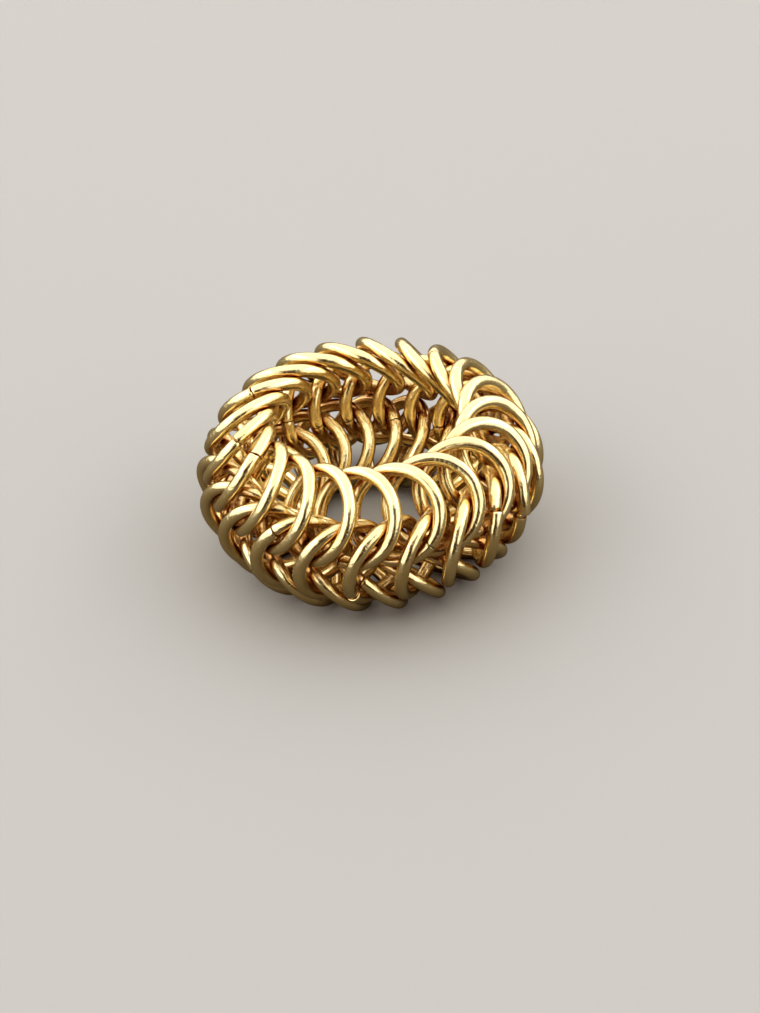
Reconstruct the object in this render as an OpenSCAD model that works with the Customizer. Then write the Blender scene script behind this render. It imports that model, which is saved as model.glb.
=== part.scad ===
// Finger ring woven from equal closed wire links, lying on its side.
// Three rows of links go round the finger. The middle links stand nearly upright round the
// outside, and each is threaded through three upper links and three lower ones. The upper
// and lower links lean in over the finger hole and lie on each other like shingles.
// The origin is on the surface below the middle of the finger hole, with +Z along the finger.

/* [Links] */
// Diameter of the wire
wire_d = 1.2; // [0.9:0.01:1.2]
// Diameter of a link along the middle of its wire
link_d = 8.38; // [8.37:0.01:8.39]
// Turn of the whole weave round the finger
weave_turn = -2.4; // [-8.5:0.1:8.5]

/* [Upper row] */
// Distance from the finger's axis to the middle of an upper link
upper_r = 12.15; // [12.13:0.01:12.17]
// Height of an upper link's middle over the middle of the middle row
upper_h = 4.19; // [4.18:0.01:4.21]
// Angle by which an upper link leans in over the finger hole
upper_lean = 38.7; // [38.5:0.1:38.9]
// Angle by which an upper link turns out of the row
upper_yaw = 28.1; // [27.9:0.1:28.3]
// Angle round the finger from a middle link to the first upper link that it holds
upper_shift = -9.2; // [-9.4:0.1:-9.0]

/* [Middle row] */
// Distance from the finger's axis to the middle of a middle link
middle_r = 12.99; // [12.97:0.01:13.01]
// Angle by which the top of a middle link leans outwards
middle_lean = 12.6; // [12.4:0.1:12.8]
// Angle by which the top of a middle link leans along the row
middle_roll = 3.2; // [3:0.1:3.4]
// Angle by which a middle link turns out of the row
middle_yaw = 39.4; // [39.2:0.1:39.6]

/* [Lower row] */
// Distance from the finger's axis to the middle of a lower link
lower_r = 10.64; // [10.62:0.01:10.66]
// Depth of a lower link's middle under the middle of the middle row
lower_h = 3.33; // [3.32:0.01:3.35]
// Angle by which a lower link leans in under the finger hole
lower_lean = 62.2; // [62:0.1:62.4]
// Angle by which a lower link turns out of the row
lower_yaw = 39.6; // [39.4:0.1:39.8]
// Angle round the finger from a middle link to the first lower link that it holds
lower_shift = -8.1; // [-8.3:0.1:-7.9]

/* [Hidden] */

// The weave closes on itself with this many links in each row
row_links = 21;
pitch = 360 / row_links;

// Half the height of a leaning lower link, down to the underside of its wire
lower_rise = link_d / 2 * sqrt(1 - pow(cos(lower_yaw) * sin(lower_lean), 2)) + wire_d / 2;
// Height of the middle row's middle over the surface that the lower links rest on
middle_z = lower_h + lower_rise;

gold = [0.83, 0.66, 0.36];

// One closed link of round wire, standing across the X axis
module link() {
    rotate([0, 90, 0])
        rotate_extrude($fn = 96)
            translate([link_d / 2, 0])
                circle(d = wire_d, $fn = 32);
}

// A row of links round the finger, each turned out of the row, tilted and moved outwards alike
module row(radius, height, tilt, yaw, shift) {
    for (i = [0 : row_links - 1])
        rotate([0, 0, weave_turn + shift + i * pitch])
            translate([radius, 0, height])
                rotate(tilt)
                    rotate([0, 0, yaw])
                        link();
}

module upper_row() {
    color(gold)
        row(upper_r, middle_z + upper_h, [0, -upper_lean, 0], -upper_yaw, upper_shift);
}

module middle_row() {
    color(gold)
        row(middle_r, middle_z, [-middle_roll, middle_lean, 0], middle_yaw, 0);
}

module lower_row() {
    color(gold)
        row(lower_r, middle_z - lower_h, [0, lower_lean, 0], -lower_yaw, lower_shift);
}

upper_row();
middle_row();
lower_row();
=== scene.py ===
# %% [markdown]
# # A finger ring woven from wire links
#
# The real ring is chainmaille: gold-coloured wire is wound on a rod like a spring, the spring is
# sawn into single links, and the links are hooked through each other and pinched shut with pliers.
# The weave is a strip of three rows, closed into a loop that fits a finger.
#
# This lesson models one link well, copies it 63 times into the three rows, gives it a polished
# gold-coloured surface, and sets the floor, the light and the camera.
# The first cell loads the plain model as a fixed frame, in metres.

# %% Load the frame
import math
import random
import bpy
from mathutils import Matrix, Vector


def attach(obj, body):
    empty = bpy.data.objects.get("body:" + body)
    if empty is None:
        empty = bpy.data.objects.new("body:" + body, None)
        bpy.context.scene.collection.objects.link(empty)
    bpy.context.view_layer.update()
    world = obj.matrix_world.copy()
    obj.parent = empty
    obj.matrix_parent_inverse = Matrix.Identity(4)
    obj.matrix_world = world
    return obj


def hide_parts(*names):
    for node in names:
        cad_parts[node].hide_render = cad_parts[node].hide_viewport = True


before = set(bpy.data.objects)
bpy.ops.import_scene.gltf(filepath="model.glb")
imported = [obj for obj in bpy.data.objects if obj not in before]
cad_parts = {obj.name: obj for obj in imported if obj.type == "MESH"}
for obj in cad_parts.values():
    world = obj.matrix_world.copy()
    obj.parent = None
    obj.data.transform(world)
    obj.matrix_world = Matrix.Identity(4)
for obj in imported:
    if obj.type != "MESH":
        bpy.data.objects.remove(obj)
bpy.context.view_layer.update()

MM = 0.001

# %% [markdown]
# ## The link
#
# A link is one turn of round wire, cut through at one place. The two cut ends are pressed together
# until only a fine dark line shows, and their rims are slightly rounded by the saw and by tumbling.
#
# By hand: add a small filled circle, the wire's cross-section, at one link radius from the centre,
# stand it up, and spin it round the link's axis, stopping a hair before the full turn. That leaves
# both cut faces in place, and their rims take a small bevel.
# A torus primitive would be quicker, but it has no joint, and the joints are what make the real
# links look like wire and not like cast rings.

# %% Sizes of the wire and the link
wire_d = 1.29 * MM
link_d = 8.38 * MM
wire_sides = 24
turn_steps = 104
outside_d = link_d + wire_d
print("wire", round(wire_d / MM, 2), "mm, link", round(outside_d / MM, 2), "mm across the outside")


# %% Helpers: clear the selection, and select faces by a test
def deselect_all():
    if bpy.context.object and bpy.context.object.mode != "OBJECT":
        bpy.ops.object.mode_set(mode="OBJECT")
    bpy.ops.object.select_all(action="DESELECT")


def select_faces(piece, test):
    bpy.ops.mesh.select_all(action="DESELECT")
    bpy.ops.mesh.select_mode(type="FACE")
    bpy.ops.object.mode_set(mode="OBJECT")
    chosen = 0
    for face in piece.data.polygons:
        face.select = bool(test(face))
        chosen += face.select
    bpy.ops.object.mode_set(mode="EDIT")
    return chosen


# %% Spin the wire's cross-section into an open link, and round the cut ends
closed_gap = 0.04
rim_bevel = 0.05 * MM
weld_distance = 1e-7
smooth_angle = math.radians(35)


def bend_link(name, gap):
    """One link lying flat round the Z axis. Its joint is at angle 0, gap metres wide."""
    deselect_all()
    bpy.ops.mesh.primitive_circle_add(vertices=wire_sides, radius=wire_d / 2, fill_type="NGON",
                                      location=(link_d / 2, 0, 0),
                                      rotation=(math.pi / 2, 0, 0))
    piece = bpy.context.object
    piece.name = name
    bpy.ops.object.transform_apply(location=True, rotation=True, scale=True)
    half_gap = gap / link_d
    bpy.ops.object.mode_set(mode="EDIT")
    bpy.ops.mesh.select_all(action="SELECT")
    bpy.ops.mesh.spin(steps=turn_steps, dupli=False, angle=2 * math.pi - 2 * half_gap,
                      center=(0, 0, 0), axis=(0, 0, 1))
    ends = select_faces(piece, lambda face: len(face.vertices) == wire_sides)
    bpy.ops.mesh.bevel(offset=rim_bevel, offset_type="OFFSET", segments=2, profile=0.5,
                       affect="EDGES")
    bpy.ops.mesh.select_all(action="SELECT")
    bpy.ops.mesh.remove_doubles(threshold=weld_distance)
    bpy.ops.mesh.normals_make_consistent(inside=False)
    bpy.ops.object.mode_set(mode="OBJECT")
    bpy.ops.object.shade_smooth_by_angle(angle=smooth_angle)
    print(name, "cut faces", ends, "faces", len(piece.data.polygons))
    return piece


open_link = bend_link("open_link", closed_gap * MM)
print("link box in mm:", [round(v / MM, 2) for v in open_link.dimensions])

# %% [markdown]
# ## A map that follows the wire
#
# Drawn wire carries faint lines along its length, left by the die it was pulled through. A pattern
# that should follow a bent wire needs a map bent in the same way, so the link gets a UV map:
# U runs along the wire from one cut end to the other, and V runs round its cross-section.
# Both are in millimetres, so a pattern has the same size along the wire and across it.

# %% Lay out the wire's length and girth as a UV map
def map_along_wire(piece):
    """U and V in millimetres. A face that crosses angle 0 gets its low angles one turn higher."""
    layer = piece.data.uv_layers.new(name="along_wire")
    for face in piece.data.polygons:
        turns, girths = [], []
        for index in face.vertices:
            x, y, z = piece.data.vertices[index].co
            turns.append(math.atan2(y, x) % (2 * math.pi))
            girths.append(math.atan2(z, math.hypot(x, y) - link_d / 2) % (2 * math.pi))
        for values in (turns, girths):
            if max(values) - min(values) > math.pi and len(values) < wire_sides:
                values[:] = [v + 2 * math.pi if v < math.pi else v for v in values]
        for loop, turn, girth in zip(face.loop_indices, turns, girths):
            layer.data[loop].uv = (turn * link_d / 2 / MM, girth * wire_d / 2 / MM)


map_along_wire(open_link)
print("along the wire", round(math.pi * link_d / MM, 1), "mm")
print("round the wire", round(math.pi * wire_d / MM, 1), "mm")

# %% [markdown]
# ## The three rows
#
# Each row has 21 links at equal steps round the finger. A link is first turned in its own plane,
# which brings its joint to some place on it, then stood up, turned out of the row, leant in or out,
# and moved out from the finger's axis. The numbers are those of the plain model, in millimetres and
# degrees, so every link stays where its solid is.
#
# By hand this is a duplicate, a rotation and a move for each link, and then the transforms are
# applied, so that the finished row's own origin stays at the centre of the scene.

# %% The places of the rows
row_links = 21
weave_turn = -2.4
plain_wire_d = 1.2
upper_h = 4.19
lower_h, lower_lean, lower_yaw = 3.33, 62.2, 39.6
flat = math.cos(math.radians(lower_yaw)) * math.sin(math.radians(lower_lean))
middle_z = lower_h + link_d / MM / 2 * math.sqrt(1 - flat ** 2) + plain_wire_d / 2
rows = {
    "upper": dict(radius=12.15, height=middle_z + upper_h, roll=0.0, lean=-38.7,
                  yaw=-28.1, shift=-9.2),
    "middle": dict(radius=12.99, height=middle_z, roll=-3.2, lean=12.6, yaw=39.4, shift=0.0),
    "lower": dict(radius=10.64, height=middle_z - lower_h, roll=0.0, lean=lower_lean,
                  yaw=-lower_yaw, shift=-8.1),
}
print("middle row's height", round(middle_z, 3), "mm")


# %% Turn and move one link to its place in a row
def turned(degrees, axis):
    return Matrix.Rotation(math.radians(degrees), 4, axis)


def link_place(row, number, joint):
    pose = rows[row]
    around = turned(weave_turn + pose["shift"] + number * 360 / row_links, "Z")
    outwards = Matrix.Translation(Vector((pose["radius"], 0, pose["height"])) * MM)
    tilt = turned(pose["lean"], "Y") @ turned(pose["roll"], "X")
    stand = turned(pose["yaw"], "Z") @ turned(90, "Y")
    return around @ outwards @ tilt @ stand @ turned(joint, "Z")


# %% [markdown]
# ## The joints
#
# On the real ring most joints have slipped to the inside of the weave, and about fifteen show from
# this side. A link closed by hand is rarely perfect: the ends may keep a small gap, or one end may
# stand a little to the side of the other.
#
# Angle 0 is a link's lowest point and 180 its top. The hidden joints are spread by chance round one
# angle for each row, and the ones that show get their own angle, gap and step, read off one by one.
# Gaps and steps are in millimetres.

# %% Where the joints are: link number, then angle, gap and sideways step
chance = random.Random(7)
hidden_joint = {"upper": 345, "middle": 65, "lower": 30}
hidden_spread, widest_hidden_gap, hidden_step = 20, 0.08, 0.04
seen_joints = {
    "upper": {9: (135, 0.15, 0.08), 11: (122, 0.20, 0.14), 12: (132, 0.16, -0.10),
              3: (150, 0.06, 0.03), 6: (95, 0.05, 0.02), 17: (40, 0.06, 0.0)},
    "middle": {14: (207, 0.08, 0.14), 16: (295, 0.18, 0.14), 19: (220, 0.30, 0.22),
               20: (260, 0.26, -0.34), 7: (106, 0.08, 0.05), 3: (255, 0.08, 0.04),
               9: (280, 0.06, 0.02)},
    "lower": {16: (180, 0.12, 0.10), 13: (150, 0.05, 0.02), 6: (265, 0.06, 0.04)},
}


def joint_of(row, number):
    if number in seen_joints[row]:
        return seen_joints[row][number]
    angle = hidden_joint[row] + chance.uniform(-hidden_spread, hidden_spread)
    gap = chance.uniform(closed_gap, widest_hidden_gap)
    return angle, gap, chance.uniform(-hidden_step, hidden_step)


print("joints that show", sum(len(joints) for joints in seen_joints.values()))


# %% Open a joint and shift its ends
bend_reach = 1.6 * MM


def set_joint(mesh, gap, step):
    """Opens the joint at angle 0 to gap and shifts its ends apart sideways by step."""
    for vertex in mesh.vertices:
        x, y, z = vertex.co
        turn = math.atan2(y, x)
        away = abs(turn) * link_d / 2
        side = 1 if turn > 0 else -1
        fade = math.exp(-(away / bend_reach) ** 2)
        swing = Matrix.Rotation(side * fade * (gap - closed_gap) * MM / link_d, 3, "Z")
        vertex.co = swing @ Vector((x, y, z + side * fade * step * MM / 2))


# %% Copy the link round a row, set each joint, and join the copies
map_slide = 400


def weave_row(row):
    copies = []
    for number in range(row_links):
        angle, gap, step = joint_of(row, number)
        deselect_all()
        open_link.select_set(True)
        bpy.context.view_layer.objects.active = open_link
        bpy.ops.object.duplicate(linked=False)
        copy = bpy.context.object
        set_joint(copy.data, gap, step)
        slide = chance.uniform(0, map_slide)
        for loop in copy.data.uv_layers["along_wire"].data:
            loop.uv = (loop.uv[0] + slide, loop.uv[1])
        copy.matrix_world = link_place(row, number, angle)
        bpy.ops.object.transform_apply(location=True, rotation=True, scale=True)
        copies.append(copy)
    deselect_all()
    for copy in copies:
        copy.select_set(True)
    bpy.context.view_layer.objects.active = copies[0]
    bpy.ops.object.join()
    piece = bpy.context.object
    piece.name = row + "_links"
    print(piece.name, len(piece.data.polygons), "faces")
    return piece


row_pieces = {}
for row in rows:
    row_pieces[row] = weave_row(row)
    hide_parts(row + "_row")
    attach(row_pieces[row], "root")
deselect_all()
bpy.data.objects.remove(open_link, do_unlink=True)

# %% [markdown]
# ## Polished gold-coloured wire
#
# The metal is bright but not a mirror. A Principled surface with full Metallic gives the
# reflections, a painted shade browns the recesses, and everything else here makes them less
# perfect, as on wire that was drawn, wound, pinched and worn. Each kind of mark gets its own cell.

# %% Small helpers to build a node material
def add_node(tree, kind, x, y, **settings):
    node = tree.nodes.new(kind)
    node.location = (x, y)
    for key, value in settings.items():
        if hasattr(node, key):
            setattr(node, key, value)
        else:
            node.inputs[key.replace("_", " ")].default_value = value
    return node


def colour_ramp(tree, x, y, stops):
    node = tree.nodes.new("ShaderNodeValToRGB")
    node.location = (x, y)
    ramp = node.color_ramp
    while len(ramp.elements) < len(stops):
        ramp.elements.new(0.5)
    for element, (position, colour) in zip(ramp.elements, stops):
        element.position = position
        element.color = (*colour, 1)
    return node


def spread(tree, x, y, source, low, high, to_low=0.0, to_high=1.0):
    """Stretches the part of a pattern from low to high over to_low to to_high."""
    node = add_node(tree, "ShaderNodeMapRange", x, y)
    ends = {"From Min": low, "From Max": high, "To Min": to_low, "To Max": to_high}
    for name, value in ends.items():
        node.inputs[name].default_value = value
    tree.links.new(source, node.inputs["Value"])
    return node.outputs["Result"]


# A Mix node's colour sockets have the same names as its number sockets, so they go by place.
MIX_A, MIX_B, MIX_RESULT = 6, 7, 2

gold = bpy.data.materials.new("polished_gold_wire")
gold.use_nodes = True
tree = gold.node_tree
join = tree.links.new
surface = tree.nodes["Principled BSDF"]
surface.inputs["Metallic"].default_value = 1.0
piece_map = add_node(tree, "ShaderNodeTexCoord", -1400, 200)
wire_map = add_node(tree, "ShaderNodeUVMap", -1400, -200, uv_map="along_wire")
print("started", gold.name)

# %% [markdown]
# The colour drifts a little, from straw to a deeper gold, because the thin gold-coloured skin is
# not equally thick all over. Noise in Object coordinates, with blotches of a few millimetres,
# drives a ramp of three golds.

# %% Colour in soft blotches
blotches = add_node(tree, "ShaderNodeTexNoise", -1100, 400,
                    Scale=260.0, Detail=4.0, Roughness=0.6)
golds = [(0.3, (0.94, 0.77, 0.40)), (0.5, (0.97, 0.82, 0.455)), (0.7, (0.99, 0.86, 0.51))]
tint = colour_ramp(tree, -800, 400, golds)
join(piece_map.outputs["Object"], blotches.inputs["Vector"])
join(blotches.outputs["Fac"], tint.inputs["Fac"])
print("golds", len(golds))

# %% [markdown]
# Where links cross, the base colour is turned brown as painted shade, so the recesses look shaded.
# The Ambient Occlusion node says how open a point is to the air within a couple of millimetres, so
# it finds these places by itself, on all 63 links.

# %% Painted shade: brown in the recesses
painted_shade_reach = 2.2 * MM
recess = add_node(tree, "ShaderNodeAmbientOcclusion", -1100, 700,
                  samples=8, Distance=painted_shade_reach)
painted_shade = add_node(tree, "ShaderNodeMix", -300, 500, data_type="RGBA")
# Painted shade: the gold is mixed towards this brown where Ambient Occlusion finds the wire hemmed
# in.
painted_shade.inputs[MIX_A].default_value = (0.46, 0.16, 0.013, 1)
join(spread(tree, -700, 700, recess.outputs["AO"], 0.28, 0.87), painted_shade.inputs["Factor"])
join(tint.outputs["Color"], painted_shade.inputs[MIX_B])
join(painted_shade.outputs[MIX_RESULT], surface.inputs["Base Color"])
print("tarnish reaches", round(painted_shade_reach / MM, 1), "mm")

# %% [markdown]
# The die leaves faint lines along the wire. The same noise, stretched on the wire's own map, gives
# both the lines' height and their dullness, so that a line is rough where it is deep.

# %% Drawn lines along the wire
stretch = add_node(tree, "ShaderNodeMapping", -1200, -200)
stretch.inputs["Scale"].default_value = (0.25, 9.0, 1.0)
drawn = add_node(tree, "ShaderNodeTexNoise", -1000, -200,
                 Scale=1.0, Detail=5.0, Roughness=0.65)
join(wire_map.outputs["UV"], stretch.inputs["Vector"])
join(stretch.outputs["Vector"], drawn.inputs["Vector"])
dullness = spread(tree, -700, -100, drawn.outputs["Fac"], 0.3, 0.7, 0.13, 0.26)
join(dullness, surface.inputs["Roughness"])
lines = add_node(tree, "ShaderNodeBump", -500, -300, Strength=0.4, Distance=0.025 * MM)
join(drawn.outputs["Fac"], lines.inputs["Height"])
along, around_wire = stretch.inputs["Scale"].default_value[:2]
print("drawn lines are", round(around_wire / along), "times longer than they are wide")

# %% [markdown]
# Links rub and knock against each other. That leaves small pits, and short scratches that run
# across the wire at a slant. Only the peaks of a noise are kept for each, so that they lie apart
# from one another, and both are kept faint, so that no group of them looks like a mark.

# %% Pits and scratches
pits = add_node(tree, "ShaderNodeTexNoise", -1000, -500,
                Scale=1900.0, Detail=2.0, Roughness=0.5)
join(piece_map.outputs["Object"], pits.inputs["Vector"])
pitted = add_node(tree, "ShaderNodeBump", -300, -400, Strength=0.18, Distance=0.05 * MM)
pit_height = spread(tree, -700, -500, pits.outputs["Fac"], 0.60, 0.72, 1.0, 0.0)
join(pit_height, pitted.inputs["Height"])
join(lines.outputs["Normal"], pitted.inputs["Normal"])

slant = add_node(tree, "ShaderNodeMapping", -1200, -750)
slant.inputs["Scale"].default_value = (8.0, 0.8, 1.0)
slant.inputs["Rotation"].default_value = (0, 0, 0.5)
rubs = add_node(tree, "ShaderNodeTexNoise", -1000, -750,
                Scale=1.0, Detail=3.0, Roughness=0.6)
join(wire_map.outputs["UV"], slant.inputs["Vector"])
join(slant.outputs["Vector"], rubs.inputs["Vector"])
scratched = add_node(tree, "ShaderNodeBump", -100, -500, Strength=0.25, Distance=0.03 * MM)
rub_height = spread(tree, -700, -750, rubs.outputs["Fac"], 0.60, 0.70, 1.0, 0.0)
join(rub_height, scratched.inputs["Height"])
join(pitted.outputs["Normal"], scratched.inputs["Normal"])
print("pits and scratches stand on the drawn lines")

# %% [markdown]
# Pliers leave the wire slightly uneven, so the edge of a reflection wavers along it.

# %% Uneven wire
waves = add_node(tree, "ShaderNodeTexNoise", -1000, -1000,
                 Scale=620.0, Detail=3.0, Roughness=0.45)
join(piece_map.outputs["Object"], waves.inputs["Vector"])
uneven = add_node(tree, "ShaderNodeBump", 100, -600, Strength=0.6, Distance=0.14 * MM)
join(waves.outputs["Fac"], uneven.inputs["Height"])
join(scratched.outputs["Normal"], uneven.inputs["Normal"])
join(uneven.outputs["Normal"], surface.inputs["Normal"])

for piece in row_pieces.values():
    piece.data.materials.clear()
    piece.data.materials.append(gold)
print("gold on", len(row_pieces), "rows")

# %% [markdown]
# ## The floor
#
# The ring lies on a plain pale sheet, just under the lowest wire. Polished metal shows its
# surroundings more than its own colour, so a photographer lays dark card round the sheet, outside
# the picture, to get brown edges between the bright reflections. Here the Light Path node does the
# same: the floor is pale to the camera and brown to a ray that comes from the metal.

# %% Lay the floor
floor_size, floor_z = 1.9, -0.055 * MM
deselect_all()
bpy.ops.mesh.primitive_plane_add(size=floor_size, location=(0, 0, floor_z))
floor = bpy.context.object
floor.name = "floor"
paper = bpy.data.materials.new("pale_floor")
paper.use_nodes = True
sheet = paper.node_tree
sheet.nodes["Principled BSDF"].inputs["Roughness"].default_value = 0.7
ray = add_node(sheet, "ShaderNodeLightPath", -700, 300)
pale = add_node(sheet, "ShaderNodeMix", -300, 300, data_type="RGBA")
pale.inputs[MIX_A].default_value = (0.42, 0.412, 0.40, 1)
pale.inputs[MIX_B].default_value = (0.105, 0.08, 0.05, 1)
sheet.links.new(ray.outputs["Is Glossy Ray"], pale.inputs["Factor"])
sheet.links.new(pale.outputs[MIX_RESULT], sheet.nodes["Principled BSDF"].inputs["Base Color"])
floor.data.materials.append(paper)
print("floor", floor_size, "m wide at", round(floor_z / MM, 3), "mm")

# %% [markdown]
# ## Soft light
#
# Four large dim panels light the ring, as an overcast sky does: one overhead, one behind, and one
# on each side. Large panels make the broad cream reflections of soft daylight, where small strong
# lamps would make hard white dots.
# The panels leave a gap round the camera. Wire that faces the viewer mirrors that gap, and so gets
# a thin dark line between its two bright sides, which is what makes round wire look round.

# %% Hang the panels
def soft_panel(name, place, aim, size, power, colour):
    """A rectangle of light at place that faces aim. Its size is in metres, its power in watts."""
    lamp = bpy.data.lights.new(name, "AREA")
    lamp.shape = "RECTANGLE"
    lamp.size, lamp.size_y = size
    lamp.energy = power
    lamp.color = colour
    panel = bpy.data.objects.new(name, lamp)
    bpy.context.scene.collection.objects.link(panel)
    panel.location = place
    panel.rotation_euler = (Vector(aim) - Vector(place)).to_track_quat("-Z", "Y").to_euler()
    radiance = power / (math.pi * size[0] * size[1])
    print(name, "shines at", round(radiance, 2), "W per square metre and steradian")


daylight, warm = (1.0, 0.99, 0.97), (1.0, 0.98, 0.94)
soft_panel("top_panel", (0, 0.20, 0.62), (0, 0.20, 0), (1.9, 1.3), 8.9, daylight)
soft_panel("back_panel", (0, 0.95, 0.40), (0, 0, 0), (2.4, 0.6), 5.2, daylight)
soft_panel("left_panel", (-0.78, -0.17, 0.42), (0, 0, 0), (2.1, 0.75), 6.7, warm)
soft_panel("right_panel", (0.78, -0.17, 0.42), (0, 0, 0), (2.1, 0.75), 6.5, warm)

# %% [markdown]
# The air round the panels is nearly dark and brown, so that the recesses stay brown, and only the
# camera sees a pale wall there. The picture's contrast is set a step above the standard one, as
# jewellery is usually shown.

# %% Set the surroundings and the contrast
world = bpy.data.worlds.new("studio")
world.use_nodes = True
air = world.node_tree
seen = add_node(air, "ShaderNodeLightPath", -700, 300)
wall = add_node(air, "ShaderNodeMix", -300, 300, data_type="RGBA")
wall.inputs[MIX_A].default_value = (0.052, 0.029, 0.014, 1)
wall.inputs[MIX_B].default_value = (0.42, 0.413, 0.40, 1)
air.links.new(seen.outputs["Is Camera Ray"], wall.inputs["Factor"])
air.links.new(wall.outputs[MIX_RESULT], air.nodes["Background"].inputs["Color"])
bpy.context.scene.world = world
bpy.context.scene.view_settings.view_transform = "Standard"
bpy.context.scene.view_settings.look = "Medium High Contrast"
print("look", bpy.context.scene.view_settings.look)

# %% [markdown]
# ## The camera
#
# The photograph was taken from about 37 degrees above the surface and, by its perspective, about
# 27 cm away, with the camera rolled a few degrees. The camera is therefore built from three
# directions: back to the viewer, across the picture and up it. Its focal length makes a
# millimetre at the ring 10.4 pixels wide, in a picture 760 pixels wide.

# %% Place the camera at the photograph's viewing angle
height, roll = math.radians(36.98), math.radians(-4.50)
picture_width, focal_pixels, pixels_per_mm = 760, 2834, 10.446
slide_right, slide_down = 0.863 * MM, 2.902 * MM
aim = Vector((0, 0, middle_z * MM))
back = Vector((0, -math.cos(height), math.sin(height)))
right = Vector((1, 0, 0))
up = back.cross(right)
sideways = right * math.cos(roll) + up * math.sin(roll)
upward = up * math.cos(roll) - right * math.sin(roll)
lens = bpy.data.cameras.new("camera")
lens.sensor_fit = "HORIZONTAL"
lens.sensor_width = 36.0
lens.lens = focal_pixels / picture_width * lens.sensor_width
lens.clip_start = 0.01
camera = bpy.data.objects.new("camera", lens)
bpy.context.scene.collection.objects.link(camera)
distance = focal_pixels / pixels_per_mm * MM
stand_at = aim + back * distance + sideways * slide_right - upward * slide_down
axes = Matrix((sideways, upward, back)).transposed().to_4x4()
camera.matrix_world = Matrix.Translation(stand_at) @ axes
bpy.context.scene.camera = camera
print("camera at", [round(v / MM, 1) for v in stand_at], "mm, lens", round(lens.lens, 1), "mm")
